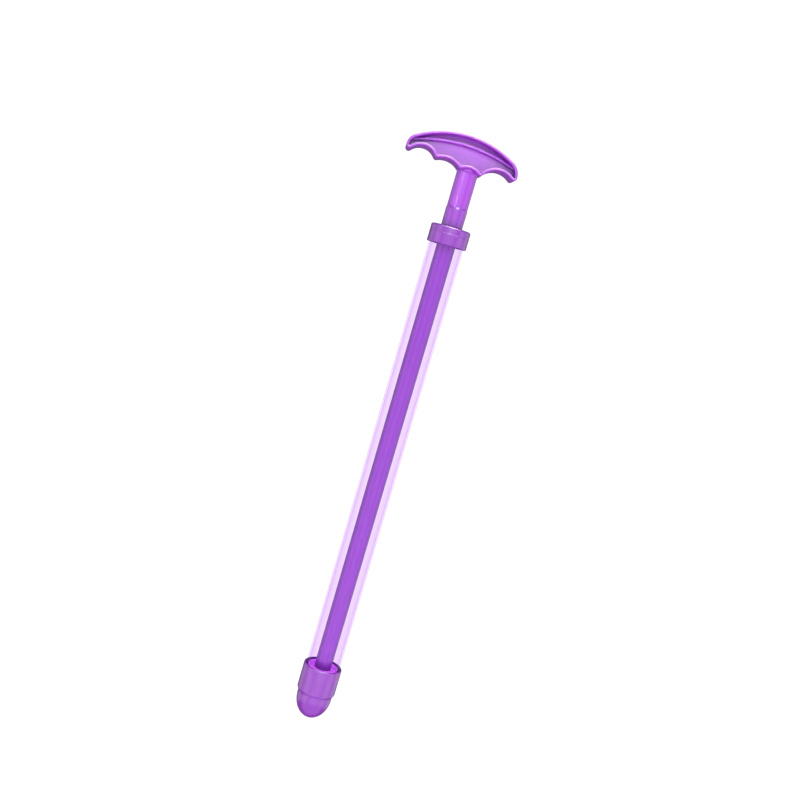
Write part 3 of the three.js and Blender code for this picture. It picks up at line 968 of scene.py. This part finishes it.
# %% Lamps
def collection_of(piece):
    """A collection with one piece, for a lamp that lights nothing else."""
    made = bpy.data.collections.new(piece.name + "_only")
    made.objects.link(piece)
    return made


def lamp(name, kind, place, target, power, lights_up, size=(1, 1), diffuse=True, gloss=True):
    """A lamp at a place, facing a target, in metres and watts, that lights one collection.

    The size is a panel's width and height, or a spot's angle in degrees and its radius. A lamp can be left out of
    the diffuse light or out of the gloss.
    """
    light = bpy.data.lights.new(name, kind)
    light.energy = power
    if kind == "AREA":
        light.shape = "RECTANGLE"
        light.size, light.size_y = size
    if kind == "SPOT":
        light.spot_size, light.shadow_soft_size = math.radians(size[0]), size[1]
        light.spot_blend = 1.0
    made = bpy.data.objects.new(name, light)
    scene.collection.objects.link(made)
    made.location = place
    made.rotation_euler = (Vector(target) - Vector(place)).to_track_quat("-Z", "Y").to_euler()
    made.light_linking.receiver_collection = lights_up
    made.light_linking.blocker_collection = lights_up
    made.visible_camera = False
    made.visible_diffuse = diffuse
    made.visible_glossy = gloss


paper_only, grip_only, piston_only, cap_only = [collection_of(piece) for piece in (floor, grip, piston, cap)]
lamp("tent_top", "AREA", (-0.1, 0, 1.6), (-0.1, 0, 0), 30.0, squirter, (2.4, 2.4))
lamp("tent_front", "AREA", (0.55, 0, 1.15), (-0.2, 0, 0), 20.0, squirter, (1.2, 0.8), gloss=False)
lamp("tent_nose", "AREA", (1.0, 0, 0.5), (0.1, 0, 0), 8.0, squirter, (2.0, 1.2))
lamp("key_beyond_grip", "AREA", (-0.83, 0.03, 0.95), (-0.245, 0, 0.02), 12.0, squirter, (0.35, 0.78))
for name, side, watts in (("left", -1, 16.0), ("right", 1, 15.0)):
    above, below = (0.2, side * 1.3, 0.6), (0.1, side * 1.1, -0.45)
    lamp("gloss_" + name, "AREA", above, (0, 0, 0), watts, squirter, (1.9, 1.0), diffuse=False)
    lamp("bounce_" + name, "AREA", below, (0, 0, 0.05), 6.5, squirter, (1.9, 0.9), diffuse=False)
lamp("gloss_back", "AREA", (-1.2, 0, 0.45), (-0.1, 0, 0), 60.0, squirter, (1.6, 0.8), diffuse=False)
lamp("piston_fill", "AREA", (0, 0, 0.8), (0.22, 0, 0), 8.0, piston_only, (0.6, 0.6), gloss=False)
lamp("stem_strip", "AREA", (-0.25, -0.6, 0.95), (-0.1, 0, 0), 5.0, grip_only, (1.0, 0.1), diffuse=False)
cap_mouth = (0.213, 0.008, 0.004)
lamp("mouth_fill", "SPOT", (-0.15, 0.008, 0.25), cap_mouth, 10.0, cap_only, (4.5, 0.02), gloss=False)
lamp("web_fill", "SPOT", (-0.275, 0, 0.9), (-0.275, 0, 0), 12.0, grip_only, (9.0, 0.05), gloss=False)
lamp("paper_wash", "SUN", (0, 0, 2), (0, 0, 0), 3.4, paper_only)

# %% [markdown]
# The photo looks almost straight down, from a little nearer the grip's long side and from short of the barrel's
# middle, so the far end of the barrel runs away from the camera. The view is built from where it looks, how far
# away it stands, how it leans, and how the barrel slants in the picture.

# %% Camera
LENS_MM = 47.25
SENSOR_MM = 36
DISTANCE = 0.895
LOOK_AT = axis_start + Vector((0.1513, -0.0007, 0))
TILT = math.radians(6.7)
ROLL = math.radians(4.0)
SLANT = math.radians(16.33)
back = Vector((-math.sin(TILT), -math.cos(TILT) * math.sin(ROLL), math.cos(TILT) * math.cos(ROLL)))
towards_grip = Vector((-1, 0, 0))
grip_up = (towards_grip - back * towards_grip.dot(back)).normalized()
grip_right = (-back).cross(grip_up)
up = grip_up * math.cos(SLANT) - grip_right * math.sin(SLANT)
right = up.cross(back)
turn = Matrix((right, up, back)).transposed()
lens = bpy.data.cameras.new("photo_camera")
lens.lens = LENS_MM
lens.sensor_width = SENSOR_MM
camera = bpy.data.objects.new("photo_camera", lens)
scene.collection.objects.link(camera)
camera.matrix_world = Matrix.Translation(LOOK_AT + back * DISTANCE) @ turn.to_4x4()
scene.camera = camera
print("camera at", [round(c, 4) for c in camera.location])

# %% [markdown]
# The box of the dressed squirter is printed beside the box of its solids.

# %% Compare sizes and finish
visual_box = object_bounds()
for axis, cad_low, cad_high, low, high in zip("XYZ", *cad_box, *visual_box):
    print(axis, "solids", round(cad_low, 5), round(cad_high, 5), "dressed", round(low, 5), round(high, 5))
